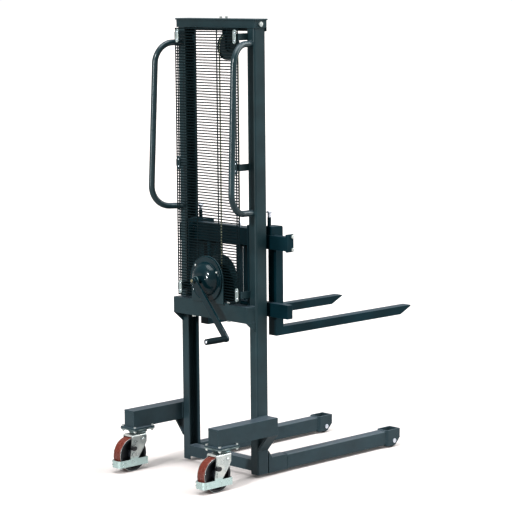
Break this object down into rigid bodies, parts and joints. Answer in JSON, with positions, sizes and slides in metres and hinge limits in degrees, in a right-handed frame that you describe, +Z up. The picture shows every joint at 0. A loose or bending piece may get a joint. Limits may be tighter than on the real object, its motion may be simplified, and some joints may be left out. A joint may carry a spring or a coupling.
{
  "type": "hand pallet stacker",
  "caption": "Hand winch stacker: a channel mast on straddle legs and castor outriggers, a crank winch and wire rope that lift a fork carriage, a rope guard screen and push handles.",
  "frame": {"origin": "on the floor, in the middle of the overall box", "axes": "+Y along the forks to their tips, +X to the side that carries the rope, +Z up"},
  "size_m": [0.577, 1.1114, 1.638],
  "materials": {
    "anthracite_paint": "satin anthracite powder coat",
    "gloss_dark": "gloss blue-black enamel",
    "grip_black": "moulded black plastic",
    "zinc_plate": "pale zinc plating",
    "bright_steel": "turned bright steel",
    "wire_rope": "stranded steel wire",
    "tread_brown": "cast red-brown polyurethane",
    "core_black": "moulded black core",
    "roller_nylon": "turned black nylon",
    "roller_steel": "ground bearing steel"
  },
  "bodies": {
    "frame": {"base_tie": "anthracite_paint", "beam_braces": "anthracite_paint", "beam_end_caps": "anthracite_paint", "brake_cover": "gloss_dark", "castor_plates": "zinc_plate", "crossbar_gussets": "anthracite_paint", "frame_bolts": "zinc_plate", "front_axles": "bright_steel", "guard_brackets": "anthracite_paint", "guard_clips": "zinc_plate", "guard_mesh": "anthracite_paint", "left_castor_beam": "anthracite_paint", "left_handle": "anthracite_paint", "left_leg": "anthracite_paint", "left_roller_head": "anthracite_paint", "left_upright": "anthracite_paint", "pulley_axle": "bright_steel", "pulley_hanger": "anthracite_paint", "right_castor_beam": "anthracite_paint", "right_handle": "anthracite_paint", "right_leg": "anthracite_paint", "right_roller_head": "anthracite_paint", "right_upright": "anthracite_paint", "rope_fall": "wire_rope", "rope_run": "wire_rope", "top_beam": "anthracite_paint", "winch_crossbar": "anthracite_paint", "winch_frame": "anthracite_paint"},
    "carriage": {"carriage_frame": "anthracite_paint", "carriage_side_plates": "anthracite_paint", "upper_fork_bar": "anthracite_paint", "lower_fork_bar": "anthracite_paint", "fork_stops": "anthracite_paint", "fork_stop_bolts": "zinc_plate", "guide_roller_axles": "bright_steel", "rope_anchor": "anthracite_paint"},
    "left_lower_guide_roller": {"left_lower_guide_roller": "roller_steel"},
    "left_upper_guide_roller": {"left_upper_guide_roller": "roller_steel"},
    "left_fork": {"left_fork": "anthracite_paint"},
    "left_lock_pin": {"left_lock_pin": "bright_steel"},
    "left_castor": {"left_castor_yoke": "zinc_plate"},
    "left_wheel": {"left_wheel_core": "core_black", "left_wheel_tread": "tread_brown"},
    "left_brake": {"left_brake_knob": "grip_black"},
    "left_front_roller": {"left_front_roller": "roller_nylon"},
    "right_lower_guide_roller": {"right_lower_guide_roller": "roller_steel"},
    "right_upper_guide_roller": {"right_upper_guide_roller": "roller_steel"},
    "right_fork": {"right_fork": "anthracite_paint"},
    "right_lock_pin": {"right_lock_pin": "bright_steel"},
    "right_castor": {"right_castor_yoke": "zinc_plate"},
    "right_wheel": {"right_wheel_core": "core_black", "right_wheel_tread": "tread_brown"},
    "right_brake": {"right_brake_knob": "grip_black"},
    "right_front_roller": {"right_front_roller": "roller_nylon"},
    "pulley": {"rope_pulley": "gloss_dark"},
    "drum": {"rope_drum": "gloss_dark", "rope_winding": "wire_rope"},
    "crank": {"crank": "gloss_dark"},
    "crank_grip": {"crank_grip": "gloss_dark"}
  },
  "joints": [
    {"name": "carriage_lift", "type": "slide", "parent": "frame", "child": "carriage", "axis": [0, 0, 1], "range_m": [-0.42, 0.57], "deforming": ["rope_fall"]},
    {"name": "left_lower_guide_roller_spin", "type": "hinge", "parent": "carriage", "child": "left_lower_guide_roller", "pos_m": [-0.1786, -0.2242, 0.589], "axis": [1, 0, 0], "continuous": true},
    {"name": "left_upper_guide_roller_spin", "type": "hinge", "parent": "carriage", "child": "left_upper_guide_roller", "pos_m": [-0.1786, -0.2242, 0.872], "axis": [1, 0, 0], "continuous": true},
    {"name": "left_fork_shift", "type": "slide", "parent": "carriage", "child": "left_fork", "axis": [1, 0, 0], "range_m": [-0.05, 0.07]},
    {"name": "left_pin_pull", "type": "slide", "parent": "left_fork", "child": "left_lock_pin", "axis": [0, 0, 1], "range_m": [0, 0.012], "stiffness_N_per_m": 800, "springref_m": -0.006},
    {"name": "left_castor_swivel", "type": "hinge", "parent": "frame", "child": "left_castor", "pos_m": [-0.226, -0.4487, 0.125], "axis": [0, 0, 1], "continuous": true},
    {"name": "left_wheel_spin", "type": "hinge", "parent": "left_castor", "child": "left_wheel", "pos_m": [-0.226, -0.4877, 0.0625], "axis": [1, 0, 0], "continuous": true},
    {"name": "left_brake_turn", "type": "hinge", "parent": "left_castor", "child": "left_brake", "pos_m": [-0.196, -0.4947, 0.0875], "axis": [1, 0, 0], "range_deg": [0, 90]},
    {"name": "left_front_roller_spin", "type": "hinge", "parent": "frame", "child": "left_front_roller", "pos_m": [-0.18, 0.4573, 0.025], "axis": [1, 0, 0], "continuous": true},
    {"name": "right_lower_guide_roller_spin", "type": "hinge", "parent": "carriage", "child": "right_lower_guide_roller", "pos_m": [0.1786, -0.2242, 0.589], "axis": [1, 0, 0], "continuous": true},
    {"name": "right_upper_guide_roller_spin", "type": "hinge", "parent": "carriage", "child": "right_upper_guide_roller", "pos_m": [0.1786, -0.2242, 0.872], "axis": [1, 0, 0], "continuous": true},
    {"name": "right_fork_shift", "type": "slide", "parent": "carriage", "child": "right_fork", "axis": [1, 0, 0], "range_m": [-0.07, 0.05]},
    {"name": "right_pin_pull", "type": "slide", "parent": "right_fork", "child": "right_lock_pin", "axis": [0, 0, 1], "range_m": [0, 0.012], "stiffness_N_per_m": 800, "springref_m": -0.006},
    {"name": "right_castor_swivel", "type": "hinge", "parent": "frame", "child": "right_castor", "pos_m": [0.226, -0.4487, 0.125], "axis": [0, 0, 1], "continuous": true},
    {"name": "right_wheel_spin", "type": "hinge", "parent": "right_castor", "child": "right_wheel", "pos_m": [0.226, -0.4877, 0.0625], "axis": [1, 0, 0], "continuous": true},
    {"name": "right_brake_turn", "type": "hinge", "parent": "right_castor", "child": "right_brake", "pos_m": [0.256, -0.4947, 0.0875], "axis": [1, 0, 0], "range_deg": [0, 90]},
    {"name": "right_front_roller_spin", "type": "hinge", "parent": "frame", "child": "right_front_roller", "pos_m": [0.18, 0.4573, 0.025], "axis": [1, 0, 0], "continuous": true},
    {"name": "pulley_spin", "type": "hinge", "parent": "frame", "child": "pulley", "pos_m": [0.0345, -0.2187, 1.532], "axis": [1, 0, 0], "continuous": true},
    {"name": "drum_spin", "type": "hinge", "parent": "frame", "child": "drum", "pos_m": [0, -0.2617, 0.707], "axis": [0, 1, 0], "continuous": true},
    {"name": "crank_spin", "type": "hinge", "parent": "frame", "child": "crank", "pos_m": [0, -0.3637, 0.707], "axis": [0, 1, 0], "continuous": true},
    {"name": "grip_spin", "type": "hinge", "parent": "crank", "child": "crank_grip", "pos_m": [0.16467, -0.4097, 0.51757], "axis": [0, 1, 0], "continuous": true}
  ],
  "couplings": [
    {"joint": "left_lower_guide_roller_spin", "follows": "carriage_lift", "rad_per_m": 45.249},
    {"joint": "left_upper_guide_roller_spin", "follows": "carriage_lift", "rad_per_m": -45.249},
    {"joint": "right_lower_guide_roller_spin", "follows": "carriage_lift", "rad_per_m": 45.249},
    {"joint": "right_upper_guide_roller_spin", "follows": "carriage_lift", "rad_per_m": -45.249},
    {"joint": "pulley_spin", "follows": "carriage_lift", "rad_per_m": 22.472},
    {"joint": "drum_spin", "follows": "carriage_lift", "rad_per_m": 28.986},
    {"joint": "crank_spin", "follows": "carriage_lift", "rad_per_m": 115.94}
  ]
}
